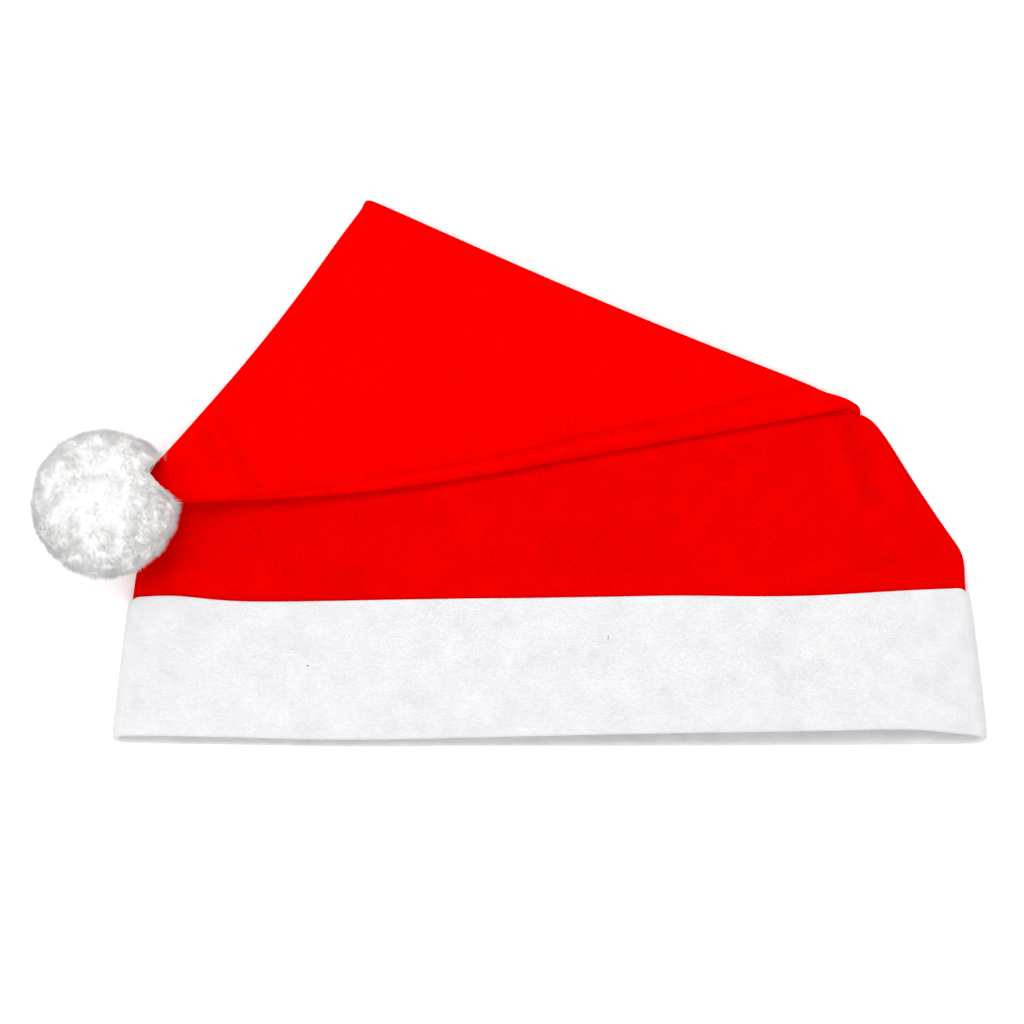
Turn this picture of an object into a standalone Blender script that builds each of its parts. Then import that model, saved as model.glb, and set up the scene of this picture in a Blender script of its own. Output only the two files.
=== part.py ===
"""Santa hat of red felt with a white cuff and pompom, lying flat on its back.

The crown is one hollow felt cone. It leaves the cuff towards +Y, bends over at a slanting fold
and comes back over its own front to the left (-X), where the pompom holds its tip. The cuff is a
felt band doubled over at its lower edge, and the crown's hem sits in the groove between its
leaves. Metres, +Z up, the floor at z = 0, and the outline's middle at x = y = 0.

While it is built, x is measured from the cuff's middle and y from the cuff's upper edge.
"""
from collections import namedtuple
from math import cos, pi, radians, sin, sqrt

import bmesh
import bpy
from mathutils import Matrix, Vector

# Felt, and the radius inside a crease
CROWN_FELT = 0.0012
CUFF_FELT = 0.0014
CLEARANCE = 0.0004
CREASE = 0.0008
MOUTH_CREASE = 0.0004

# Cuff, lying flat
CUFF_WIDTH = 0.2904
CUFF_TOP_WIDTH = 0.2786
CUFF_HEIGHT = 0.0494
MOUTH_OPEN = 0.0060
LEAF_GAP = 0.0005

# Crown, lying flat
HEM_DEPTH = 0.0100
HEM_SPARE = 0.0015
COLLAR = 0.0045
FOLD_START = 0.0605
FOLD_RISE = 0.1260
FOLD_LENGTH = 0.1742
FOLD_SLOPE = radians(22.9)
FOLD_SAG = 0.0020
FOLD_CLEAR = 0.0012
CORNER_TUCK = 0.0052
CORNER_LIFT = 0.0028
TIP_REACH = 0.0770
TIP_DROP = 0.0933
TIP_RISE = 0.0105
TIP_WALL = 0.0018
BODY_OPEN = 0.0080
FLAP_OPEN = 0.0050
SEAM_DEPTH = 0.0006
DENT_DEPTH = 0.0010

# Pompom, measured from the point where the flap's sides would meet
POMPOM_DIAMETER = 0.0480
POMPOM_PAST_TIP = 0.0086
POMPOM_BELOW_TIP = 0.0022
POMPOM_SETTLE = 0.0006
LOCK_LENGTH = 0.0060
LOCK_WIDTH = 0.0112
LOCK_PITCH = 0.0098

# The parts of the size that follow from those above
FOLD_EDGE = CROWN_FELT + CREASE
HEM_EDGE = CROWN_FELT + CLEARANCE + CUFF_FELT + MOUTH_CREASE
HEM_FLOOR = CUFF_FELT + CLEARANCE
HEM_OPEN = MOUTH_OPEN + 2 * (CLEARANCE + CUFF_FELT)
CROWN_WIDTH = CUFF_TOP_WIDTH - 2 * HEM_FLOOR
CUFF_TAPER = (CUFF_WIDTH - CUFF_TOP_WIDTH) / (2 * CUFF_HEIGHT)

UP = Vector((0, 0, 1))
FOLD_ALONG = Vector((cos(FOLD_SLOPE), -sin(FOLD_SLOPE), 0))
FOLD_AWAY = Vector((sin(FOLD_SLOPE), cos(FOLD_SLOPE), 0))
FOLD_LEFT = Vector((-FOLD_START, FOLD_RISE, 0))
FOLD_RIGHT = FOLD_LEFT + FOLD_LENGTH * FOLD_ALONG
FLAP_RIGHT = FOLD_RIGHT - CORNER_TUCK * FOLD_ALONG + CORNER_LIFT * FOLD_AWAY
TIP = FOLD_LEFT - Vector((TIP_REACH, TIP_DROP, 0))

# Places across a layer of felt, from the left crease (0) to the right (1), closer at the seam
ACROSS = (0.0, 0.04, 0.10, 0.18, 0.26, 0.34, 0.42, 0.50, 0.58, 0.66, 0.74, 0.82, 0.88, 0.915,
          0.942, 0.97, 1.0)
SEAM_PRESS = {0.915: 0.15, 0.942: 1.0, 0.97: -0.45}
CAP_STEPS = 4
FOLD_STEPS = 8
BODY_RINGS = 13
FLAP_RINGS = 15

# The body from the collar to the fold. left and right are shares of each side's length, and the
# bows stand out from the straight side by a share of it. hem is how much of the cuff's hold on
# the felt is left, open a share of BODY_OPEN, seam a share of SEAM_DEPTH and sag a share of
# FOLD_SAG, by which the middle falls back from the straight line between the creases.
Body = namedtuple("Body", "left left_bow right right_bow hem open seam sag")
BODY = (
    Body(0.00, 0.000, 0.00, 0.000, hem=1.00, open=1.00, seam=0.0, sag=0.0),
    Body(0.05, 0.022, 0.10, 0.076, hem=0.35, open=1.00, seam=0.6, sag=0.0),
    Body(0.11, 0.028, 0.22, 0.077, hem=0.00, open=1.00, seam=1.0, sag=0.0),
    Body(0.30, 0.022, 0.42, 0.070, hem=0.00, open=1.00, seam=1.0, sag=0.1),
    Body(0.52, 0.014, 0.60, 0.066, hem=0.00, open=0.92, seam=1.0, sag=0.3),
    Body(0.76, 0.007, 0.80, 0.066, hem=0.00, open=0.66, seam=1.0, sag=0.7),
    Body(0.92, 0.002, 0.94, 0.052, hem=0.00, open=0.40, seam=1.0, sag=1.0),
    Body(1.00, 0.000, 1.00, 0.000, hem=0.00, open=0.28, seam=1.0, sag=1.0),
)

# The flap from the fold to the tip. rise is a share of TIP_RISE, open a share of FLAP_OPEN, edge
# the outer radius of the creases as a share of the fold's, and seam a share of SEAM_DEPTH.
Flap = namedtuple("Flap", "left left_bow right right_bow rise open edge seam sag")
FLAP = (
    Flap(0.00, 0.000, 0.00, 0.000, rise=0.00, open=0.45, edge=1.00, seam=1.0, sag=1.0),
    Flap(0.10, -0.004, 0.12, 0.007, rise=0.00, open=0.62, edge=1.00, seam=1.0, sag=0.8),
    Flap(0.26, -0.016, 0.32, 0.016, rise=0.00, open=0.85, edge=1.05, seam=1.0, sag=0.3),
    Flap(0.44, -0.023, 0.52, 0.027, rise=0.02, open=1.00, edge=1.10, seam=0.9, sag=0.0),
    Flap(0.60, -0.023, 0.70, 0.028, rise=0.14, open=1.00, edge=1.15, seam=0.7, sag=0.0),
    Flap(0.74, -0.020, 0.835, 0.018, rise=0.46, open=0.95, edge=1.20, seam=0.4, sag=0.0),
    Flap(0.84, -0.017, 0.915, 0.012, rise=0.78, open=0.80, edge=1.20, seam=0.1, sag=0.0),
    Flap(0.92, -0.010, 0.958, 0.006, rise=1.00, open=0.55, edge=1.10, seam=0.0, sag=0.0),
)

# The cuff's edges across its width: how far each stands above its even line, as a share of
# CUFF_HEIGHT. The front fold ends short of the back one, which shows as the mouth's lower lip.
CuffEdge = namedtuple("CuffEdge", "across top front back")
CUFF_EDGES = (
    CuffEdge(across=0.00, top=-0.004, front=0.062, back=0.010),
    CuffEdge(across=0.04, top=0.016, front=0.060, back=0.006),
    CuffEdge(across=0.10, top=-0.034, front=0.056, back=0.002),
    CuffEdge(across=0.25, top=-0.026, front=0.034, back=-0.014),
    CuffEdge(across=0.40, top=-0.006, front=0.050, back=-0.010),
    CuffEdge(across=0.54, top=0.032, front=0.068, back=-0.010),
    CuffEdge(across=0.68, top=0.008, front=0.084, back=-0.008),
    CuffEdge(across=0.80, top=0.000, front=0.092, back=-0.006),
    CuffEdge(across=0.93, top=0.038, front=0.104, back=0.000),
    CuffEdge(across=1.00, top=0.054, front=0.064, back=0.004),
)

# Soft dents in the layers that face up: place as shares of the crown's half width and of the
# fold's rise, reach as a share of the fold's rise, depth as a share of DENT_DEPTH.
Dent = namedtuple("Dent", "layer x y reach depth")
DENTS = (
    Dent(layer="flap", x=-0.375, y=0.788, reach=0.085, depth=0.9),
    Dent(layer="flap", x=-0.478, y=0.670, reach=0.095, depth=1.0),
    Dent(layer="flap", x=-0.551, y=0.584, reach=0.085, depth=0.9),
    Dent(layer="flap", x=-0.622, y=0.492, reach=0.090, depth=1.0),
    Dent(layer="flap", x=-0.150, y=0.620, reach=0.200, depth=0.5),
    Dent(layer="body", x=0.640, y=0.330, reach=0.110, depth=1.0),
    Dent(layer="body", x=-0.330, y=0.120, reach=0.130, depth=0.8),
    Dent(layer="body", x=0.790, y=0.100, reach=0.120, depth=0.7),
    Dent(layer="body", x=0.250, y=0.180, reach=0.160, depth=0.6),
)

Ring = namedtuple("Ring", "spine up edge swell_back swell_front layer seam")


def row_at(rows, place):
    """The table's columns at a place from 0 to 1 down it, on a smooth curve through its rows."""
    last = len(rows) - 1
    index = min(int(place * last), last - 1)
    t = place * last - index
    near = [rows[max(0, min(last, index + step))] for step in (-1, 0, 1, 2)]
    values = []
    for before, start, end, after in zip(*near):
        square = 2 * before - 5 * start + 4 * end - after
        cube = 3 * (start - end) + after - before
        values.append(start + 0.5 * ((end - before) * t + square * t ** 2 + cube * t ** 3))
    return values


def dome(share):
    """How far a layer stands off the line between its creases: 0 at both, 1 in the middle."""
    return 1 - (2 * share - 1) ** 4


def swell_for(opening, edge):
    """What the middle of a layer adds to the edge radius, for a clear height inside the felt."""
    return opening + 2 * CROWN_FELT - 2 * edge


def on_side(start, end, share, bow, turn):
    """A point at a share of the side from start to end, bowed out to its left (turn 1)."""
    side = end - start
    return start + side * share + Vector((-side.y, side.x, 0)) * bow * turn


def across_point(left, right, share, sag):
    """The point at a share of the way from one crease to the other, in the plane of the floor."""
    return left.lerp(right, share) - FOLD_AWAY * FOLD_SAG * sag * 4 * share * (1 - share)


def band_half(y):
    """Half the distance between the creases of the band that crown and cuff share, at y."""
    return CROWN_WIDTH / 2 - HEM_EDGE - CUFF_TAPER * y


def band_loop(inset, y_at):
    """A loop round the head's opening, inset from the crown's outer face.

    y_at gives y for a place across and a share of the way from the back to the front.
    """
    radius = HEM_EDGE - inset
    middle = HEM_FLOOR + HEM_EDGE
    swell = swell_for(HEM_OPEN, HEM_EDGE)
    turns = [pi * step / CAP_STEPS for step in range(1, CAP_STEPS)]
    loop = []
    for share in ACROSS:
        y = y_at(share, 0)
        loop.append(Vector((band_half(y) * (2 * share - 1), y, middle - radius)))
    for turn in turns:
        y = y_at(1, (1 - cos(turn)) / 2)
        loop.append(Vector((band_half(y) + radius * sin(turn), y, middle - radius * cos(turn))))
    for share in reversed(ACROSS):
        y = y_at(share, 1)
        z = middle + radius + swell * dome(share)
        loop.append(Vector((band_half(y) * (2 * share - 1), y, z)))
    for turn in turns:
        y = y_at(0, (1 + cos(turn)) / 2)
        loop.append(Vector((-band_half(y) - radius * sin(turn), y, middle + radius * cos(turn))))
    return loop


def body_line(place):
    """The body's left and right crease points at a place down its table, and that row."""
    row = Body(*row_at(BODY, place))
    start = Vector((band_half(COLLAR), COLLAR, 0))
    left = on_side(Vector((-start.x, start.y, 0)), FOLD_LEFT, row.left, row.left_bow, 1)
    right = on_side(start, FOLD_RIGHT, row.right, row.right_bow, -1)
    return left, right, row


def body_section(row):
    """The crease radius, the middle's swell and the floor's lift at a row of the body."""
    hem = max(row.hem, 0)
    edge = FOLD_EDGE + (HEM_EDGE - FOLD_EDGE) * hem
    opening = BODY_OPEN * row.open * (1 - hem) + HEM_OPEN * hem
    return edge, swell_for(opening, edge), HEM_FLOOR * hem


def body_height(point):
    """The height of the body's front layer under or over a point."""
    low, high = 0.0, 1.0
    for halving in range(24):
        place = (low + high) / 2
        left, right, row = body_line(place)
        along = right - left
        if along.x * (point.y - left.y) > along.y * (point.x - left.x):
            low = place
        else:
            high = place
    edge, swell, lift = body_section(row)
    share = (point - left).xy.dot(along.xy) / along.length_squared
    return lift + 2 * edge + swell * dome(max(0.0, min(1.0, share)))


def body_rings():
    """The rings of the body above the collar, up to the fold."""
    rings = []
    for step in range(1, BODY_RINGS + 1):
        left, right, row = body_line(step / BODY_RINGS)
        edge, swell, lift = body_section(row)
        level = UP * (lift + edge)
        spine = [across_point(left, right, share, row.sag) + level for share in ACROSS]
        rings.append(Ring(spine, UP, edge, 0.0, swell, "body", row.seam))
    return rings


def fold_rings(body_end):
    """The rings that carry both layers over the fold, between the body and the flap."""
    start = Flap(*FLAP[0])
    flap_swell = swell_for(FLAP_OPEN * start.open, FOLD_EDGE)
    rings = []
    for step in range(1, FOLD_STEPS):
        turn = pi * step / FOLD_STEPS
        done = (1 - cos(turn)) / 2
        spine = []
        for share in ACROSS:
            bend = FOLD_EDGE + (body_end.swell_front * dome(share) + FOLD_CLEAR) / 2
            corner = FOLD_RIGHT.lerp(FLAP_RIGHT, done ** 3)
            point = across_point(FOLD_LEFT, corner, share, start.sag)
            point += FOLD_AWAY * bend * sin(turn)
            spine.append(point + UP * (FOLD_EDGE + 2 * bend * done))
        up = UP * cos(turn) - FOLD_AWAY * sin(turn)
        swell_front = body_end.swell_front * (1 - step / FOLD_STEPS)
        rings.append(Ring(spine, up, FOLD_EDGE, flap_swell * step / FOLD_STEPS, swell_front,
                          "fold", start.seam))
    return rings


def flap_rings():
    """The rings of the flap, lying on the body and rising to the tip."""
    rings = []
    for step in range(FLAP_RINGS + 1):
        row = Flap(*row_at(FLAP, step / FLAP_RINGS))
        left = on_side(FOLD_LEFT, TIP, row.left, row.left_bow, -1)
        right = on_side(FLAP_RIGHT, TIP, row.right, row.right_bow, 1)
        edge = FOLD_EDGE * row.edge
        lift = FOLD_CLEAR + edge + TIP_RISE * row.rise
        spine = []
        for share in ACROSS:
            point = across_point(left, right, share, row.sag)
            spine.append(point + UP * (body_height(point) + lift))
        swell = swell_for(FLAP_OPEN * row.open, edge)
        rings.append(Ring(spine, -UP, edge, swell, 0.0, "flap", row.seam))
    return rings


def dent_at(point, layer):
    """How far the dents press an up-facing layer down at a point."""
    pressed = 0.0
    for dent in DENTS:
        middle = Vector((dent.x * CROWN_WIDTH / 2, dent.y * FOLD_RISE))
        away = (point.xy - middle).length / (dent.reach * FOLD_RISE)
        if dent.layer == layer and away < 1:
            pressed += dent.depth * DENT_DEPTH * (1 - away ** 2) ** 2
    return pressed


def ring_loop(ring, outward, inset):
    """The ring's closed loop of points, inset from the felt's outer face."""
    radius = ring.edge - inset
    left_out, right_out = outward
    back_dents = ring.layer == "flap"
    front_dents = ring.layer == "body"
    turns = [pi * step / CAP_STEPS for step in range(1, CAP_STEPS)]
    loop = []
    for share, point in zip(ACROSS, ring.spine):
        press = SEAM_PRESS.get(share, 0)
        if ring.layer == "body":
            press = max(press, 0)
        swell = ring.swell_back * dome(share) - press * SEAM_DEPTH * ring.seam
        if back_dents:
            swell -= dent_at(point, ring.layer)
        loop.append(point - ring.up * (radius + swell))
    for turn in turns:
        loop.append(ring.spine[-1] + radius * (right_out * sin(turn) - ring.up * cos(turn)))
    for share, point in zip(reversed(ACROSS), reversed(ring.spine)):
        swell = ring.swell_front * dome(share)
        if front_dents:
            swell -= dent_at(point, ring.layer)
        loop.append(point + ring.up * (radius + swell))
    for turn in turns:
        loop.append(ring.spine[0] + radius * (left_out * sin(turn) + ring.up * cos(turn)))
    return loop


def crease_directions(rings):
    """For each ring, the ways out of its left and right creases, square to the crease lines."""
    directions = []
    for index, ring in enumerate(rings):
        before = rings[max(index - 1, 0)].spine
        after = rings[min(index + 1, len(rings) - 1)].spine
        left_out = ring.up.cross(after[0] - before[0]).normalized()
        right_out = (after[-1] - before[-1]).cross(ring.up).normalized()
        directions.append((left_out, right_out))
    return directions


def crown_loops(inset):
    """The crown's loops from the hem to the last ring before the tip."""
    loops = [band_loop(inset, lambda share, front: y) for y in (-HEM_DEPTH, 0.0)]
    loops.append(band_loop(inset, lambda share, front: COLLAR))
    rings = body_rings()
    rings += fold_rings(rings[-1])
    rings += flap_rings()
    for ring, outward in zip(rings, crease_directions(rings)):
        loops.append(ring_loop(ring, outward, inset))
    return loops


def middle_of(loop):
    """The mean of a loop's points."""
    return sum(loop, Vector()) / len(loop)


def skin(bm, loops, closed):
    """Faces between each loop and the next, and back to the first where the row is closed."""
    rows = [[bm.verts.new(point) for point in loop] for loop in loops]
    pairs = list(zip(rows, rows[1:]))
    if closed:
        pairs.append((rows[-1], rows[0]))
    for first, second in pairs:
        for index in range(len(first)):
            after = (index + 1) % len(first)
            bm.faces.new((first[index], first[after], second[after], second[index]))
    return rows


def close_with_point(bm, row, point):
    """A fan of faces from an open row to a point."""
    apex = bm.verts.new(point)
    for index, vert in enumerate(row):
        bm.faces.new((vert, row[(index + 1) % len(row)], apex))


def felt(name, colour, roughness):
    """A plain material for one piece."""
    material = bpy.data.materials.new(name)
    material.use_nodes = True
    shader = material.node_tree.nodes["Principled BSDF"]
    shader.inputs["Base Color"].default_value = (*colour, 1)
    shader.inputs["Roughness"].default_value = roughness
    shader.inputs["Metallic"].default_value = 0.0
    return material


def place(name, bm, material):
    """The closed mesh as an object of the scene, its faces pointing out."""
    bmesh.ops.recalc_face_normals(bm, faces=bm.faces)
    mesh = bpy.data.meshes.new(name)
    bm.to_mesh(mesh)
    bm.free()
    mesh.materials.append(material)
    mesh.shade_smooth()
    mesh.set_sharp_from_angle(angle=radians(50))
    piece = bpy.data.objects.new(name, mesh)
    bpy.context.scene.collection.objects.link(piece)
    return piece


def round_tip(loops, spare):
    """The small loop and the point that round off the tip past its last loop."""
    end = middle_of(loops[-1])
    onward = (end - middle_of(loops[-2])).normalized()
    small = [end + (point - end) * 0.8 + onward * (TIP_WALL * 0.7 + spare) for point in loops[-1]]
    return small, end + onward * (TIP_WALL + spare)


def make_crown():
    """One hollow shell of felt, open at the hem and closed at the tip."""
    outer = crown_loops(0.0)
    inner = crown_loops(CROWN_FELT)
    small, point = round_tip(outer, 0.0)
    bm = bmesh.new()
    rows = skin(bm, list(reversed(inner)) + outer + [small], closed=False)
    close_with_point(bm, rows[0], middle_of(inner[-1]))
    close_with_point(bm, rows[-1], point)
    return place("crown", bm, felt("red_felt", (0.80, 0.004, 0.004), 0.92))


def cuff_y(along):
    """The rule for y at a share of the way from the cuff's upper edge to its lower one."""
    def y_at(share, front):
        edge = CuffEdge(*row_by_share(CUFF_EDGES, share))
        top = edge.top * CUFF_HEIGHT
        low = edge.back + (edge.front - edge.back) * front
        return top + ((low - 1) * CUFF_HEIGHT - top) * along
    return y_at


def row_by_share(rows, share):
    """The table's columns at a share given in its first column, on a smooth curve."""
    last = len(rows) - 1
    index = max(i for i in range(last) if rows[i].across <= share)
    step = (share - rows[index].across) / (rows[index + 1].across - rows[index].across)
    return row_at(rows, (index + step) / last)


def make_cuff():
    """A felt band doubled over at its lower edge, with a groove between its leaves."""
    hem_end = (HEM_DEPTH + HEM_SPARE) / CUFF_HEIGHT
    wide = CROWN_FELT + 2 * CLEARANCE
    turn_radius = CUFF_FELT + LEAF_GAP / 2
    bend = 1 - turn_radius / CUFF_HEIGHT
    groove_end = bend - 0.01
    section = [(0.0, 0.0), (hem_end, 0.0), (0.42, 0.0), (0.70, 0.0)]
    for step in range(5):
        turn = pi * step / 4
        section.append((bend + (1 - bend) * sin(turn), turn_radius * (1 - cos(turn))))
    section += [(0.70, 2 * turn_radius), (0.42, 2 * turn_radius)]
    section += [(hem_end, 2 * CUFF_FELT + wide), (0.0, 2 * CUFF_FELT + wide)]
    section += [(0.0, CUFF_FELT + wide), (hem_end, CUFF_FELT + wide)]
    section += [(0.42, CUFF_FELT + LEAF_GAP), (0.70, CUFF_FELT + LEAF_GAP)]
    section += [(groove_end, CUFF_FELT + LEAF_GAP), (groove_end, CUFF_FELT)]
    section += [(0.70, CUFF_FELT), (0.42, CUFF_FELT), (hem_end, CUFF_FELT), (0.0, CUFF_FELT)]
    bm = bmesh.new()
    skin(bm, [band_loop(depth - HEM_FLOOR, cuff_y(along)) for along, depth in section], closed=True)
    return place("cuff", bm, felt("white_felt", (0.86, 0.86, 0.88), 0.95))


def make_pompom(crown_end):
    """A ball of locks of yarn, fused to a core, with a socket for the crown's tip."""
    ball = POMPOM_DIAMETER / 2
    core = ball - LOCK_LENGTH
    centre = TIP + Vector((-POMPOM_PAST_TIP, -POMPOM_BELOW_TIP, ball - POMPOM_SETTLE))
    count = int(4 * pi * ball ** 2 / LOCK_PITCH ** 2)
    flap_way = (middle_of(crown_end[0]) - centre).normalized()
    locks = bmesh.new()
    for index in range(count):
        level = 1 - (2 * index + 1) / count
        around = pi * (3 - sqrt(5)) * index
        flat = sqrt(1 - level * level)
        way = Vector((flat * cos(around), flat * sin(around), level))
        if way.angle(flap_way) > radians(28):
            add_lock(locks, centre, way, core, ball)
    for vert in locks.verts:
        vert.co.z = max(vert.co.z, 0)
    yarn = felt("white_yarn", (0.90, 0.89, 0.87), 0.98)
    tufts = place("pompom_locks", locks, yarn)
    body = bmesh.new()
    bmesh.ops.create_icosphere(body, subdivisions=3, radius=core + 0.0012,
                               matrix=Matrix.Translation(centre))
    pompom = place("pompom", body, yarn)
    fuse = pompom.modifiers.new("fuse_locks", "BOOLEAN")
    fuse.operation = "UNION"
    fuse.object = tufts
    fuse.use_self = True
    small, point = round_tip(crown_end, CLEARANCE)
    socket = bmesh.new()
    rows = skin(socket, crown_end + [small], closed=False)
    close_with_point(socket, rows[0], middle_of(crown_end[0]))
    close_with_point(socket, rows[-1], point)
    cutter = place("pompom_socket", socket, yarn)
    cut = pompom.modifiers.new("cut_socket", "BOOLEAN")
    cut.operation = "DIFFERENCE"
    cut.object = cutter
    for guide in (tufts, cutter):
        guide.hide_render = True
        guide.display_type = "WIRE"
    return pompom


def add_lock(bm, centre, way, core, ball):
    """One blunt lock of yarn, standing out along way from inside the core."""
    side = way.orthogonal().normalized()
    other = way.cross(side)
    loops = []
    for reach, width in ((core * 0.85, 0.56), (core + 0.35 * LOCK_LENGTH, 0.50),
                         (ball - 0.15 * LOCK_LENGTH, 0.34)):
        loop = []
        for corner in range(6):
            turn = pi * corner / 3
            spread = side * cos(turn) + other * sin(turn)
            loop.append(centre + way * reach + spread * width * LOCK_WIDTH)
        loops.append(loop)
    rows = skin(bm, loops, closed=False)
    close_with_point(bm, rows[0], centre + way * core * 0.75)
    close_with_point(bm, rows[-1], centre + way * ball)


def centre_outline(pieces):
    """Move the whole hat level, so that the middle of its outline is at x = y = 0."""
    settled = bpy.context.evaluated_depsgraph_get()
    points = []
    for piece in pieces:
        points += [vert.co for vert in piece.evaluated_get(settled).to_mesh().vertices]
    for axis in (0, 1):
        values = [point[axis] for point in points]
        for thing in bpy.data.objects:
            thing.location[axis] -= (min(values) + max(values)) / 2


def main():
    for piece in list(bpy.data.objects):
        bpy.data.objects.remove(piece, do_unlink=True)
    crown = make_crown()
    cuff = make_cuff()
    pompom = make_pompom(crown_loops(-CLEARANCE)[-9:])
    centre_outline((crown, cuff, pompom))


main()
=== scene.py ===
from math import pi, radians, sqrt

import bmesh
import bpy
import numpy as np
from mathutils import Matrix, Vector, noise
from mathutils.bvhtree import BVHTree


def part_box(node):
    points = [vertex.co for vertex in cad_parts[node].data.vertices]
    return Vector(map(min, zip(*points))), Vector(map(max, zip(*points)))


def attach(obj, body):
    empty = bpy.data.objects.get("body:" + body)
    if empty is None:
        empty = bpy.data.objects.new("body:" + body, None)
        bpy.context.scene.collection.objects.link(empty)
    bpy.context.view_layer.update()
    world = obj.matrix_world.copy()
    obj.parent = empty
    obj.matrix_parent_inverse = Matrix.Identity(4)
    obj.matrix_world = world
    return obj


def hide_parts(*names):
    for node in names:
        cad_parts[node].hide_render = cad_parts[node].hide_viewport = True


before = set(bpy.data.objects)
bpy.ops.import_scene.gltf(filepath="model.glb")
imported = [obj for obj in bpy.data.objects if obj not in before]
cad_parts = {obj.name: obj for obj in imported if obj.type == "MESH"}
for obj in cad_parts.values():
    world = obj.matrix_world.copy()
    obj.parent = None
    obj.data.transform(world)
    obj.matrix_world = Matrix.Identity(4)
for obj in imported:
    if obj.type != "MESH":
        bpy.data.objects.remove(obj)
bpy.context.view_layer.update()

scene = bpy.context.scene


# Table and camera. The hat lies on a plain white table and is seen from straight above, with the
# cuff's mouth towards the bottom of the picture.
table_half = 3.0
table_shape = bmesh.new()
bmesh.ops.create_grid(table_shape, x_segments=8, y_segments=8, size=table_half)
table_mesh = bpy.data.meshes.new("table")
table_shape.to_mesh(table_mesh)
table_shape.free()
table = bpy.data.objects.new("table", table_mesh)
scene.collection.objects.link(table)


def add_node(nodes, kind, **settings):
    """A shader node with the settings given by name."""
    node = nodes.new(kind)
    for name, value in settings.items():
        setattr(node, name, value)
    return node


table_paint = bpy.data.materials.new("table_white")
table_paint.use_nodes = True
table_nodes = table_paint.node_tree.nodes
table_shader = table_nodes["Principled BSDF"]
table_shader.inputs["Roughness"].default_value = 0.9
table_shader.inputs["Specular IOR Level"].default_value = 0.1
table_shader.inputs["Emission Color"].default_value = (1, 1, 1, 1)
table_shader.inputs["Emission Strength"].default_value = 0.12
table_place = add_node(table_nodes, "ShaderNodeTexCoord")
table_grain = add_node(table_nodes, "ShaderNodeTexNoise")
table_grain.inputs["Scale"].default_value = 900.0
table_tone = add_node(table_nodes, "ShaderNodeMix", data_type="RGBA")
table_tone.inputs["A"].default_value = (0.96, 0.96, 0.96, 1)
table_tone.inputs["B"].default_value = (0.98, 0.98, 0.98, 1)
table_links = table_paint.node_tree.links
table_links.new(table_place.outputs["Object"], table_grain.inputs["Vector"])
table_links.new(table_grain.outputs["Fac"], table_tone.inputs["Factor"])
table_links.new(table_tone.outputs["Result"], table_shader.inputs["Base Color"])
table_mesh.materials.append(table_paint)

camera_height = 3.0
picture_width = 0.3379
camera_data = bpy.data.cameras.new("camera")
camera_data.sensor_width = 36.0
camera_data.lens = camera_data.sensor_width * camera_height / picture_width
camera = bpy.data.objects.new("camera", camera_data)
camera.location = (0.0002, -0.0127, camera_height)
scene.collection.objects.link(camera)
scene.camera = camera


# Crown. A cone of red felt, 1.2 mm thick, pressed flat and folded over its own front. The side
# seam was sewn inside out, so it shows as a valley beside a puffed strip along the flap's hem
# side. The felt rolls softly at its creases and keeps a few dimples and crumples near the tip.
def refined(name, node, levels):
    """A merged copy of a CAD node in quads, subdivided smoothly, as a new object."""
    shape = bmesh.new()
    shape.from_mesh(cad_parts[node].data)
    bmesh.ops.remove_doubles(shape, verts=shape.verts, dist=0.00001)
    bmesh.ops.join_triangles(shape, faces=shape.faces, angle_face_threshold=radians(60),
                             angle_shape_threshold=radians(75))
    mesh = bpy.data.meshes.new(name)
    shape.to_mesh(mesh)
    shape.free()
    piece = bpy.data.objects.new(name, mesh)
    scene.collection.objects.link(piece)
    smooth = piece.modifiers.new("smooth", "SUBSURF")
    smooth.levels = smooth.render_levels = levels
    settled = bpy.context.evaluated_depsgraph_get()
    finer = bpy.data.meshes.new_from_object(piece.evaluated_get(settled))
    piece.modifiers.clear()
    piece.data = finer
    finer.shade_smooth()
    return piece


def points_of(mesh):
    """The mesh's points as an array with a row for each."""
    flat = np.empty(len(mesh.vertices) * 3)
    mesh.vertices.foreach_get("co", flat)
    return flat.reshape(-1, 3)


def set_points(mesh, points):
    """Moves the mesh's points to those in the array."""
    mesh.vertices.foreach_set("co", points.ravel())
    mesh.update()


def top_share(mesh, points, depth):
    """For each point, 1 in the layer that faces the sky and 0 in the layers under it."""
    above_hat = 0.2
    down = Vector((0, 0, -1))
    tree = BVHTree.FromPolygons([Vector(p) for p in points],
                                [tuple(face.vertices) for face in mesh.polygons])
    share = np.zeros(len(points))
    for index, point in enumerate(points):
        hit = tree.ray_cast(Vector((point[0], point[1], above_hat)), down)
        if hit[0] is not None:
            below = (hit[0].z - point[2]) / depth
            share[index] = min(1.0, max(0.0, 2.0 - below))
    return share


def swell_noise(points, size, seed):
    """Smooth noise of about -1 to 1 whose bumps are size across, over the floor plane."""
    shift = Vector((seed * 7.3, seed * 3.1, seed * 1.7))
    return np.array([noise.noise(Vector((p[0], p[1], p[2] * 0.5)) / size + shift) for p in points])


def line_distance(points, line):
    """The distance of each point from a broken line over the floor plane, how far along the line
    it is from 0 to 1, and on which side."""
    best = np.full(len(points), 1e9)
    along = np.zeros(len(points))
    side = np.zeros(len(points))
    spans = list(zip(line, line[1:]))
    for index, (start, end) in enumerate(spans):
        start, end = np.array(start), np.array(end)
        way = end - start
        share = np.clip(((points[:, :2] - start) @ way) / (way @ way), 0, 1)
        away = points[:, :2] - (start + share[:, None] * way)
        distance = np.hypot(away[:, 0], away[:, 1])
        nearer = distance < best
        best = np.where(nearer, distance, best)
        along = np.where(nearer, (index + share) / len(spans), along)
        side = np.where(nearer, np.sign(way[0] * away[:, 1] - way[1] * away[:, 0]), side)
    return best, along, side


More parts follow.
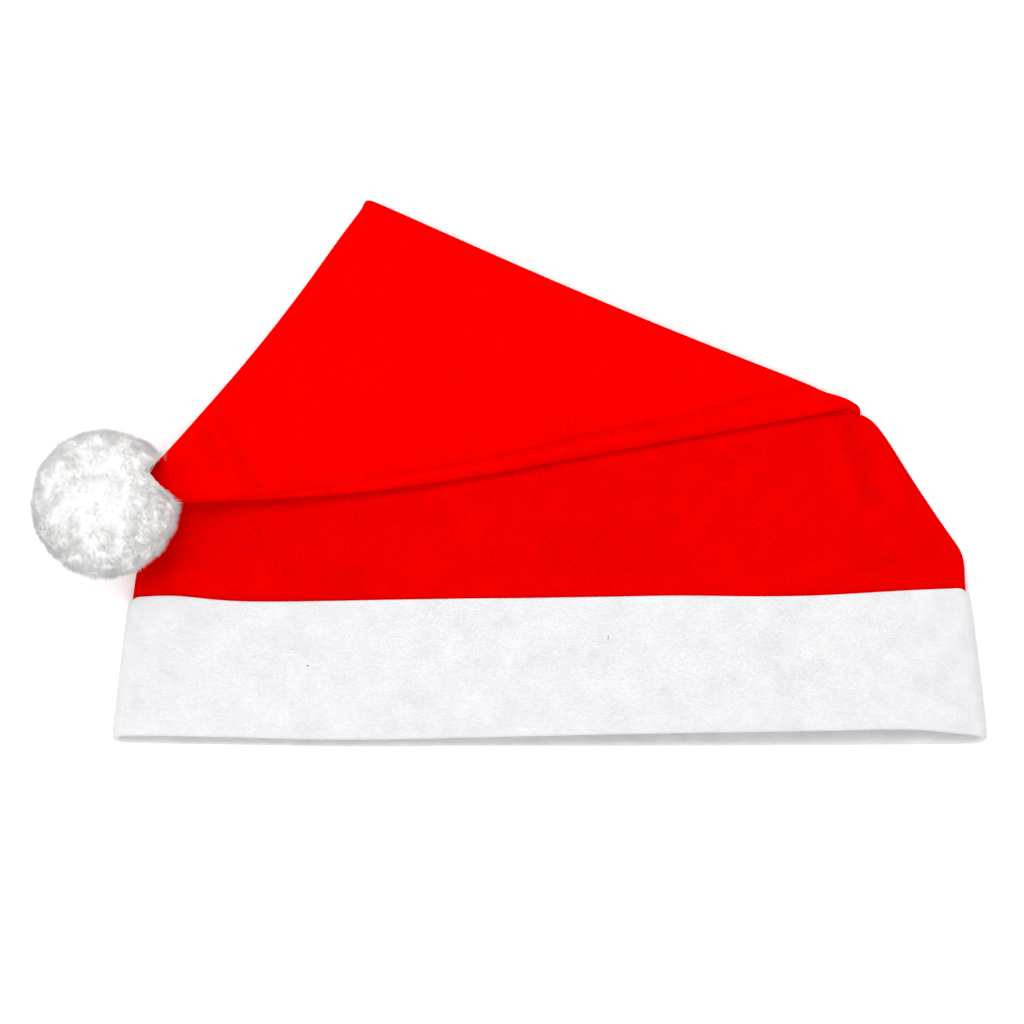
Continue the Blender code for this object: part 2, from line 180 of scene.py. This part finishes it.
crown_layer = 0.0016
valley_width = 0.0009
valley_depth = 0.0014
puff_away = 0.0034
puff_width = 0.0018
puff_height = 0.0007
crown = refined("crown_felt", "crown", 2)
crown_points = points_of(crown.data)
on_top = top_share(crown.data, crown_points, crown_layer)
seam_valley = ((-0.0980, -0.0096), (-0.0837, -0.0081), (-0.0467, -0.0031), (-0.0137, 0.0025),
               (0.0068, 0.0074), (0.0259, 0.0120), (0.0609, 0.0186), (0.0837, 0.0256),
               (0.0978, 0.0276), (0.1050, 0.0262))
away, along, side = line_distance(crown_points, seam_valley)
valley = np.exp(-(away / valley_width) ** 2)
valley *= np.clip(along * 2.2, 0, 1)
valley *= np.clip((1 - along) * 9, 0, 1)
puff = np.exp(-((away * side + puff_away) / puff_width) ** 2)
puff *= np.clip(along * 1.6 - 0.2, 0, 1)
puff *= np.clip((1 - along) * 6, 0, 1)
lift = puff_height * puff - valley_depth * valley

# Painted shade: the body's felt below the flap's lower edge is painted darker, fully from 6 mm below
# the edge, and the flap is painted a little darker near its lower edge, fading over 25 mm.
flap_edge = ((-0.1400, -0.0125), (-0.1094, -0.0114), (-0.0731, -0.0091), (-0.0467, -0.0068),
             (-0.0269, -0.0045), (0.0028, 0.0015), (0.0358, 0.0078), (0.0688, 0.0130),
             (0.0873, 0.0173), (0.1048, 0.0219), (0.1600, 0.0300))
body_shade_ramp = 0.006
flap_edge_shade = 0.28
flap_edge_shade_fade = 0.025
away, _, side = line_distance(crown_points, flap_edge)
shade_on_flap = flap_edge_shade * np.exp(-away / flap_edge_shade_fade)
painted_shade = np.where(side < 0, np.clip(away / body_shade_ramp, 0, 1), shade_on_flap)

# Creases and dimples, whose hollows are also painted darker as painted shade and whose raised ones
# are painted lighter: the line each follows, how wide it is and its depth, below zero where it is
# raised. The depth times crease_depth is in metres.
crease_depth = 0.0017
crease_shade = 0.55
for line, width, depth in (
    (((-0.1010, 0.0130), (-0.0965, 0.0010)), 0.0018, 1.00),
    (((-0.0940, 0.0180), (-0.0885, 0.0040)), 0.0020, 0.85),
    (((-0.0985, 0.0165), (-0.0930, 0.0030)), 0.0015, -0.60),
    (((-0.0880, 0.0010), (-0.0830, -0.0040)), 0.0020, 0.70),
    (((-0.0397, 0.0590), (-0.0385, 0.0575)), 0.0022, 0.45),
    (((-0.0545, 0.0440), (-0.0505, 0.0485)), 0.0024, 0.45),
    (((-0.0640, 0.0325), (-0.0620, 0.0345)), 0.0021, 0.45),
    (((-0.0735, 0.0215), (-0.0725, 0.0205)), 0.0024, 0.40),
    (((-0.0340, 0.0300), (-0.0250, 0.0220)), 0.0034, 0.35),
    (((0.1130, 0.0140), (0.1180, 0.0000), (0.1190, -0.0080)), 0.0034, 1.00),
    (((0.1060, 0.0110), (0.1120, -0.0020)), 0.0026, -0.50),
    (((0.1240, 0.0050), (0.1290, -0.0080)), 0.0030, -0.60),
    (((0.1180, -0.0290), (0.1440, -0.0260)), 0.0050, 0.70),
    (((-0.0720, -0.0330), (-0.0440, -0.0345)), 0.0044, 0.80),
    (((-0.1150, -0.0210), (-0.1140, -0.0370)), 0.0020, 0.60),
    (((-0.1040, -0.0270), (-0.1050, -0.0360)), 0.0018, 0.50),
    (((0.0100, -0.0230), (0.0500, -0.0250)), 0.0090, 0.60),
):
    away = line_distance(crown_points, line)[0]
    crease = np.exp(-(away / width) ** 2)
    lift -= crease_depth * depth * crease
    # Painted shade: each crease darkens the felt's colour by crease_shade times its depth; raised
    # ones, with depth below zero, are painted lighter.
    painted_shade += crease_shade * depth * crease
lift += 0.00070 * swell_noise(crown_points, 0.030, 1) + 0.00022 * swell_noise(crown_points, 0.009, 2)
back_layer_top = 0.0035
flat_here = crown_points[:, 2] < back_layer_top
crown_points[:, 2] += lift * on_top * np.where(flat_here, 0.0, 1.0)
set_points(crown.data, crown_points)
# The painted shade is kept on the points, where the red felt's colour reads it.
painted_shade_attribute = crown.data.attributes.new("painted_shade", "FLOAT", "POINT")
painted_shade_attribute.data.foreach_set("value", painted_shade)


# The nap that both felts share: matted fibres in every direction, and the cloudy thick and thin
# places that needle-punched felt has.
nap = bpy.data.node_groups.new("felt_nap", "ShaderNodeTree")
for socket_name, value in (("Cloud Scale", 110.0), ("Fibre Scale", 520.0), ("Relief", 0.0002)):
    socket = nap.interface.new_socket(socket_name, in_out="INPUT", socket_type="NodeSocketFloat")
    socket.default_value = value
nap.interface.new_socket("Clouds", in_out="OUTPUT", socket_type="NodeSocketFloat")
nap.interface.new_socket("Fibres", in_out="OUTPUT", socket_type="NodeSocketFloat")
nap.interface.new_socket("Normal", in_out="OUTPUT", socket_type="NodeSocketVector")
nap_in = add_node(nap.nodes, "NodeGroupInput")
nap_out = add_node(nap.nodes, "NodeGroupOutput")
nap_place = add_node(nap.nodes, "ShaderNodeTexCoord")
clouds = add_node(nap.nodes, "ShaderNodeTexNoise")
clouds.inputs["Detail"].default_value = 4.0
clouds.inputs["Roughness"].default_value = 0.62
nap.links.new(nap_place.outputs["Object"], clouds.inputs["Vector"])
nap.links.new(nap_in.outputs["Cloud Scale"], clouds.inputs["Scale"])
nap.links.new(clouds.outputs["Fac"], nap_out.inputs["Clouds"])
strongest = None
for turn in (10, 67, 128):
    turned = add_node(nap.nodes, "ShaderNodeMapping")
    turned.inputs["Rotation"].default_value = (0, 0, radians(turn))
    turned.inputs["Scale"].default_value = (1.0, 4.5, 4.5)
    wisps = add_node(nap.nodes, "ShaderNodeTexNoise")
    wisps.inputs["Detail"].default_value = 2.0
    wisps.inputs["Distortion"].default_value = 0.7
    centred = add_node(nap.nodes, "ShaderNodeMath", operation="SUBTRACT")
    centred.inputs[1].default_value = 0.5
    fold = add_node(nap.nodes, "ShaderNodeMath", operation="ABSOLUTE")
    thin = add_node(nap.nodes, "ShaderNodeMapRange")
    thin.inputs["From Max"].default_value = 0.07
    thin.inputs["To Min"].default_value = 1.0
    thin.inputs["To Max"].default_value = 0.0
    nap.links.new(nap_place.outputs["Object"], turned.inputs["Vector"])
    nap.links.new(turned.outputs["Vector"], wisps.inputs["Vector"])
    nap.links.new(nap_in.outputs["Fibre Scale"], wisps.inputs["Scale"])
    nap.links.new(wisps.outputs["Fac"], centred.inputs[0])
    nap.links.new(centred.outputs["Value"], fold.inputs[0])
    nap.links.new(fold.outputs["Value"], thin.inputs["Value"])
    if strongest is None:
        strongest = thin.outputs["Result"]
        continue
    both = add_node(nap.nodes, "ShaderNodeMath", operation="MAXIMUM")
    nap.links.new(strongest, both.inputs[0])
    nap.links.new(thin.outputs["Result"], both.inputs[1])
    strongest = both.outputs["Value"]
nap.links.new(strongest, nap_out.inputs["Fibres"])
height = add_node(nap.nodes, "ShaderNodeMath", operation="ADD")
nap.links.new(strongest, height.inputs[0])
nap.links.new(clouds.outputs["Fac"], height.inputs[1])
nap_bump = add_node(nap.nodes, "ShaderNodeBump")
nap_bump.inputs["Strength"].default_value = 0.55
nap.links.new(height.outputs["Value"], nap_bump.inputs["Height"])
nap.links.new(nap_in.outputs["Relief"], nap_bump.inputs["Distance"])
nap.links.new(nap_bump.outputs["Normal"], nap_out.inputs["Normal"])


def felt_material(name, thin_colour, thick_colour, fibre_colour):
    """Felt of one colour, thin and thick by the nap's clouds, with its fibres a little lighter."""
    material = bpy.data.materials.new(name)
    material.use_nodes = True
    nodes, links = material.node_tree.nodes, material.node_tree.links
    shader = nodes["Principled BSDF"]
    shader.inputs["Roughness"].default_value = 0.95
    shader.inputs["Specular IOR Level"].default_value = 0.02
    surface = add_node(nodes, "ShaderNodeGroup", node_tree=nap)
    tone = add_node(nodes, "ShaderNodeMix", data_type="RGBA", label="felt tone mix")
    tone.inputs["A"].default_value = (*thin_colour, 1)
    tone.inputs["B"].default_value = (*thick_colour, 1)
    spread = add_node(nodes, "ShaderNodeMapRange")
    spread.inputs["From Min"].default_value = 0.32
    spread.inputs["From Max"].default_value = 0.68
    strands = add_node(nodes, "ShaderNodeMath", operation="MULTIPLY")
    strands.inputs[1].default_value = 0.35
    lit = add_node(nodes, "ShaderNodeMix", data_type="RGBA")
    lit.inputs["B"].default_value = (*fibre_colour, 1)
    links.new(surface.outputs["Clouds"], spread.inputs["Value"])
    links.new(spread.outputs["Result"], tone.inputs["Factor"])
    links.new(surface.outputs["Fibres"], strands.inputs[0])
    links.new(strands.outputs["Value"], lit.inputs["Factor"])
    links.new(tone.outputs["Result"], lit.inputs["A"])
    links.new(lit.outputs["Result"], shader.inputs["Base Color"])
    links.new(surface.outputs["Normal"], shader.inputs["Normal"])
    return material, lit, shader


red_felt, _, red_shader = felt_material(
    "red_felt_nap", (0.775, 0.0001, 0.0001), (0.865, 0.0001, 0.0001), (0.90, 0.0002, 0.0002))
red_shader.inputs["Sheen Weight"].default_value = 0.25
red_shader.inputs["Specular IOR Level"].default_value = 0.0
red_nodes, red_links = red_felt.node_tree.nodes, red_felt.node_tree.links
red_tone = next(node for node in red_nodes if node.label == "felt tone mix")
# Painted shade: the point attribute drives the red felt's colour darker than its thin tone on the
# body below the flap, near the flap's lower edge and in the creases, and lighter on the raised
# creases; the nap's clouds still add their thin and thick tones.
painted_shade_read = add_node(red_nodes, "ShaderNodeAttribute", attribute_name="painted_shade")
clouds_and_painted_shade = add_node(red_nodes, "ShaderNodeMath", operation="MULTIPLY_ADD")
clouds_and_painted_shade.inputs[1].default_value = -1.2
red_tone.clamp_factor = False
red_links.new(red_tone.inputs["Factor"].links[0].from_socket, clouds_and_painted_shade.inputs[2])
red_links.new(painted_shade_read.outputs["Fac"], clouds_and_painted_shade.inputs[0])
red_links.new(clouds_and_painted_shade.outputs["Value"], red_tone.inputs["Factor"])
red_shader.inputs["Sheen Tint"].default_value = (1.0, 0.0, 0.0, 1)
crown.data.materials.clear()
crown.data.materials.append(red_felt)
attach(crown, "root")
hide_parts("crown")


# Cuff. A band of white felt, 1.4 mm thick, doubled over at its lower edge and sewn over the
# crown's hem. Its front fold ends short of the back one, so the mouth shows as a thin grey line.
cuff_layer = 0.0026
front_from = 0.004
front_fade = 0.003
cuff = refined("cuff_felt", "cuff", 3)
cuff_points = points_of(cuff.data)
on_top = top_share(cuff.data, cuff_points, cuff_layer)
lift = 0.00035 * swell_noise(cuff_points, 0.026, 3) + 0.00014 * swell_noise(cuff_points, 0.008, 4)
for line, width, depth in (
    (((-0.0985, -0.0425), (-0.0970, -0.0490)), 0.0030, 0.55),
    (((-0.1240, -0.0480), (-0.1200, -0.0620)), 0.0040, 0.50),
    (((0.0350, -0.0700), (0.0600, -0.0620)), 0.0060, -0.35),
    (((-0.0700, -0.0740), (-0.0300, -0.0760)), 0.0060, 0.35),
):
    away = line_distance(cuff_points, line)[0]
    lift -= depth / 1000 * np.exp(-(away / width) ** 2)
cuff_points[:, 2] += lift * on_top * np.clip((cuff_points[:, 2] - front_from) / front_fade, 0, 1)
set_points(cuff.data, cuff_points)

white_felt, white_colour, white_shader = felt_material(
    "white_felt_nap", (0.690, 0.694, 0.716), (0.785, 0.789, 0.808), (0.820, 0.822, 0.834))
white_shader.inputs["Sheen Weight"].default_value = 0.10
white_nodes, white_links = white_felt.node_tree.nodes, white_felt.node_tree.links
white_place = add_node(white_nodes, "ShaderNodeTexCoord")
shown = white_colour.outputs["Result"]
# Two bits of lint caught in the felt: where each lies, its turn, its half sizes and its colour.
for spot_at, turn, reach, colour in (
    ((-0.0669, -0.0632, 0.0125), 20, (0.00036, 0.00030, 0.006), (0.10, 0.10, 0.12)),
    ((0.0318, -0.0540, 0.0125), 82, (0.00100, 0.00022, 0.006), (0.62, 0.16, 0.20)),
):
    spot = add_node(white_nodes, "ShaderNodeMapping", vector_type="TEXTURE")
    spot.inputs["Location"].default_value = spot_at
    spot.inputs["Rotation"].default_value = (0, 0, radians(turn))
    spot.inputs["Scale"].default_value = reach
    far = add_node(white_nodes, "ShaderNodeVectorMath", operation="LENGTH")
    near = add_node(white_nodes, "ShaderNodeMapRange")
    near.inputs["From Min"].default_value = 0.6
    near.inputs["From Max"].default_value = 1.3
    near.inputs["To Min"].default_value = 1.0
    near.inputs["To Max"].default_value = 0.0
    lint = add_node(white_nodes, "ShaderNodeMix", data_type="RGBA")
    lint.inputs["B"].default_value = (*colour, 1)
    white_links.new(white_place.outputs["Object"], spot.inputs["Vector"])
    white_links.new(spot.outputs["Vector"], far.inputs[0])
    white_links.new(far.outputs["Value"], near.inputs["Value"])
    white_links.new(near.outputs["Result"], lint.inputs["Factor"])
    white_links.new(shown, lint.inputs["A"])
    shown = lint.outputs["Result"]
white_links.new(shown, white_shader.inputs["Base Color"])
cuff.data.materials.clear()
cuff.data.materials.append(white_felt)
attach(cuff, "root")
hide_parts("cuff")


# Pompom. A ball of cut white yarn tied round the crown's tip, 48 mm across. The yarn stands in
# soft tufts, parts in a line across the front, and is pushed aside by the flap at the right.
def unit(rows):
    """The rows scaled to length 1."""
    return rows / np.linalg.norm(rows, axis=1)[:, None]


def spread_ways(count):
    """Evenly spread directions, one in each row."""
    index = np.arange(count)
    level = 1 - (2 * index + 1) / count
    flat = np.sqrt(1 - level ** 2)
    around = pi * (3 - sqrt(5)) * index
    return np.stack([flat * np.cos(around), flat * np.sin(around), level], axis=1)


low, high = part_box("pompom")
ball = 0.0243
middle_from_left = 0.0242
middle_under_top = 0.0240
middle = np.array((low.x + middle_from_left, (low.y + high.y) / 2, high.z - middle_under_top))
dice = np.random.default_rng(25)
tuft_count = 230
tufts = unit(spread_ways(tuft_count) + dice.normal(0, 0.045, (tuft_count, 3)))
tuft_length = dice.uniform(0.984, 1.012, tuft_count)
tuft_lean = unit(np.cross(tufts, unit(dice.normal(0, 1, (tuft_count, 3)))))
parting = ((-0.1575, -0.0056), (-0.1400, -0.0010), (-0.1190, 0.0008))
wedge = np.array((-0.1192, 0.0008))
wedge_half = radians(47)
wedge_under_middle = 0.005
parting_width = 0.0016
parting_depth = 0.040
tuft_rounding = 0.9
lump_height = 0.034


def ball_reach(ways):
    """How far the pompom's surface stands from its middle in each direction."""
    owner = np.argmax(ways @ tufts.T, axis=1)
    spread = np.arccos(np.clip(np.sum(ways * tufts[owner], axis=1), -1, 1))
    lumps = np.array([noise.noise(Vector(way) * 1.9 + Vector((3.1, 0.4, 8.2))) for way in ways])
    reach = ball * tuft_length[owner] * (1 - tuft_rounding * spread ** 2) * (1 + lump_height * lumps)
    away = line_distance(middle + ways * ball, parting)[0]
    parted = np.exp(-(away / parting_width) ** 2) * np.clip(ways[:, 2] * 4 + 0.4, 0, 1)
    return reach * (1 - parting_depth * parted), owner


def in_wedge(points):
    """Whether each point lies over the felt that parts the yarn at the right, and its angle there."""
    turn = np.arctan2(points[:, 1] - wedge[1], points[:, 0] - wedge[0])
    high_enough = points[:, 2] > middle[2] - wedge_under_middle
    return (np.abs(turn) < wedge_half) & high_enough, turn


yarn_shaders = []
for name, thin_tone, thick_tone in (
    ("white_yarn_packed", (0.835, 0.832, 0.821), (0.885, 0.882, 0.868)),
    ("white_yarn_loose", (0.865, 0.863, 0.853), (0.910, 0.908, 0.895)),
):
    yarn = bpy.data.materials.new(name)
    yarn.use_nodes = True
    yarn_nodes, yarn_links = yarn.node_tree.nodes, yarn.node_tree.links
    yarn_shader = yarn_nodes["Principled BSDF"]
    yarn_shader.inputs["Roughness"].default_value = 0.9
    yarn_shader.inputs["Specular IOR Level"].default_value = 0.1
    yarn_shader.inputs["Sheen Weight"].default_value = 0.15
    yarn_place = add_node(yarn_nodes, "ShaderNodeTexCoord")
    yarn_clouds = add_node(yarn_nodes, "ShaderNodeTexNoise")
    yarn_clouds.inputs["Scale"].default_value = 240.0
    yarn_clouds.inputs["Detail"].default_value = 3.0
    yarn_tone = add_node(yarn_nodes, "ShaderNodeMix", data_type="RGBA")
    yarn_tone.inputs["A"].default_value = (*thin_tone, 1)
    yarn_tone.inputs["B"].default_value = (*thick_tone, 1)
    yarn_links.new(yarn_place.outputs["Object"], yarn_clouds.inputs["Vector"])
    yarn_links.new(yarn_clouds.outputs["Fac"], yarn_tone.inputs["Factor"])
    yarn_links.new(yarn_tone.outputs["Result"], yarn_shader.inputs["Base Color"])
    if name == "white_yarn_packed":
        yarn_curls = add_node(yarn_nodes, "ShaderNodeTexNoise")
        yarn_curls.inputs["Scale"].default_value = 1500.0
        yarn_curls.inputs["Detail"].default_value = 2.0
        yarn_curls.inputs["Distortion"].default_value = 1.2
        yarn_bump = add_node(yarn_nodes, "ShaderNodeBump")
        yarn_bump.inputs["Strength"].default_value = 0.5
        yarn_bump.inputs["Distance"].default_value = 0.00022
        yarn_links.new(yarn_place.outputs["Object"], yarn_curls.inputs["Vector"])
        yarn_links.new(yarn_curls.outputs["Fac"], yarn_bump.inputs["Height"])
        yarn_links.new(yarn_bump.outputs["Normal"], yarn_shader.inputs["Normal"])
    yarn_shaders.append(yarn)
packed_yarn, loose_yarn = yarn_shaders

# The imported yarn: a ball whose surface rises into the tufts, with the tip's way in at the right.
packed_inset = 0.0009
grain_height = 0.00018
behind_wedge = 0.0006
packed_floor = 0.0003
packed_shape = bmesh.new()
bmesh.ops.create_icosphere(packed_shape, subdivisions=7, radius=1.0)
packed_mesh = bpy.data.meshes.new("pompom_packed")
packed_shape.to_mesh(packed_mesh)
packed_shape.free()
packed_ways = unit(points_of(packed_mesh))
packed_reach = ball_reach(packed_ways)[0]
grain = np.array([noise.noise(Vector(way) * 26) + 0.6 * noise.noise(Vector(way) * 55)
                  for way in packed_ways])
packed_reach = packed_reach - packed_inset + grain_height * grain
packed_points = middle + packed_ways * packed_reach[:, None]
inside = in_wedge(packed_points)[0]
packed_points[:, 0] = np.where(inside, wedge[0] - behind_wedge, packed_points[:, 0])
packed_points[:, 2] = np.maximum(packed_points[:, 2], packed_floor)
set_points(packed_mesh, packed_points)
packed_mesh.shade_smooth()
packed_mesh.materials.append(packed_yarn)
packed = bpy.data.objects.new("pompom_packed", packed_mesh)
scene.collection.objects.link(packed)
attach(packed, "root")
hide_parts("pompom")

# The loose ends: tapered strands that lean with their tuft, in four pieces.
strand_count = 42000
pushed_up = 1.40
pushed_down = 1.10
longest = 1.10
root_depth = 0.0034
root_width = 0.000120
bend_width = 0.000095
roots = unit(spread_ways(strand_count) + dice.normal(0, 0.02, (strand_count, 3)))
root_reach, owner = ball_reach(roots)
ways = unit(roots + 0.10 * (tufts[owner] - roots) + 0.055 * tuft_lean[owner]
            + dice.normal(0, 0.035, (strand_count, 3)))
tip_reach = root_reach + dice.uniform(-0.0003, 0.0012, strand_count)
tips = middle + ways * tip_reach[:, None]
inside, turn = in_wedge(tips)
out = tips[:, :2] - wedge
length = np.where(turn >= 0, pushed_up, pushed_down) * np.hypot(out[:, 0], out[:, 1])
pushed = np.where(turn >= 0, 1, -1) * (wedge_half + dice.normal(0.03, 0.05, strand_count))
tips[:, 0] = np.where(inside, wedge[0] + length * np.cos(pushed), tips[:, 0])
tips[:, 1] = np.where(inside, wedge[1] + length * np.sin(pushed), tips[:, 1])
far_out = np.linalg.norm(tips - middle, axis=1)
tips = middle + (tips - middle) * np.minimum(1, longest * root_reach / far_out)[:, None]
starts = middle + roots * (root_reach - root_depth)[:, None]
kept = ~in_wedge(starts)[0]
tips[:, 2] = np.maximum(tips[:, 2], 0.0004)
starts[:, 2] = np.maximum(starts[:, 2], 0.0006)
bends = starts * 0.5 + tips * 0.5 + dice.normal(0, 0.0004, (strand_count, 3))
bends[:, 2] = np.maximum(bends[:, 2], 0.0005)

strand = bmesh.new()
bmesh.ops.create_cone(strand, cap_ends=True, segments=3, radius1=1.0, radius2=0.0, depth=1.0,
                      matrix=Matrix.Translation((0, 0, 0.5)))
bmesh.ops.bisect_plane(strand, geom=strand.verts[:] + strand.edges[:] + strand.faces[:],
                       plane_co=(0, 0, 0.5), plane_no=(0, 0, 1))
bmesh.ops.triangulate(strand, faces=strand.faces)
bmesh.ops.recalc_face_normals(strand, faces=strand.faces)
strand.verts.index_update()
form = np.array([vert.co[:] for vert in strand.verts])
form_faces = np.array([[vert.index for vert in face.verts] for face in strand.faces])
strand.free()
round_form = unit(form[:, :2] + 1e-9)
up_form = form[:, 2]
width_form = np.where(up_form > 0.9, 0.0, np.where(up_form > 0.4, bend_width, root_width))
axis = unit(tips - starts)
across = unit(np.cross(axis, unit(dice.normal(0, 1, (strand_count, 3)))))
other = np.cross(axis, across)
strand_points = np.empty((strand_count, len(form), 3))
for index in range(len(form)):
    t = up_form[index]
    curve = (1 - t) ** 2 * starts + 2 * t * (1 - t) * bends + t ** 2 * tips
    spoke = across * round_form[index, 0] + other * round_form[index, 1]
    strand_points[:, index] = curve + spoke * width_form[index]
strand_points[:, :, 2] = np.maximum(strand_points[:, :, 2], 0.0001)
spokes = across[:, None] * round_form[:, 0, None] + other[:, None] * round_form[:, 1, None]
outward = unit(tips - middle)[:, None] + 0.45 * spokes
piece_count = 4
for number in range(piece_count):
    chosen = np.nonzero((owner % piece_count == number) & kept)[0]
    verts = strand_points[chosen].reshape(-1, 3)
    shift = np.arange(len(chosen))[:, None, None] * len(form)
    faces = (form_faces[None] + shift).reshape(-1, 3)
    piece_name = f"pompom_yarn_{number + 1}"
    yarn_mesh = bpy.data.meshes.new(piece_name)
    yarn_mesh.from_pydata(verts, [], faces)
    yarn_mesh.shade_smooth()
    yarn_mesh.normals_split_custom_set_from_vertices(unit(outward[chosen].reshape(-1, 3)))
    yarn_mesh.materials.append(loose_yarn)
    yarn_piece = bpy.data.objects.new(piece_name, yarn_mesh)
    scene.collection.objects.link(yarn_piece)
    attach(yarn_piece, "root")


# Light. A bright room all round, a soft lamp high behind the fold, which shades the flap's lower
# edge, and a wider one high in front, which lights the cuff and the pompom's lower side.
world = bpy.data.worlds.new("studio")
world.use_nodes = True
world.node_tree.nodes["Background"].inputs["Color"].default_value = (1, 1, 1, 1)
world.node_tree.nodes["Background"].inputs["Strength"].default_value = 0.88
scene.world = world
for name, place, size, power in (
    ("lamp_fold", (-0.32, 0.72, 1.90), 0.7, 15.0),
    ("lamp_front", (-0.20, -0.80, 2.00), 1.2, 9.5),
):
    lamp_data = bpy.data.lights.new(name, "AREA")
    lamp_data.size = size
    lamp_data.energy = power
    lamp = bpy.data.objects.new(name, lamp_data)
    lamp.location = place
    lamp.rotation_euler = (-Vector(place)).to_track_quat("-Z", "Y").to_euler()
    scene.collection.objects.link(lamp)
scene.view_settings.view_transform = "Standard"
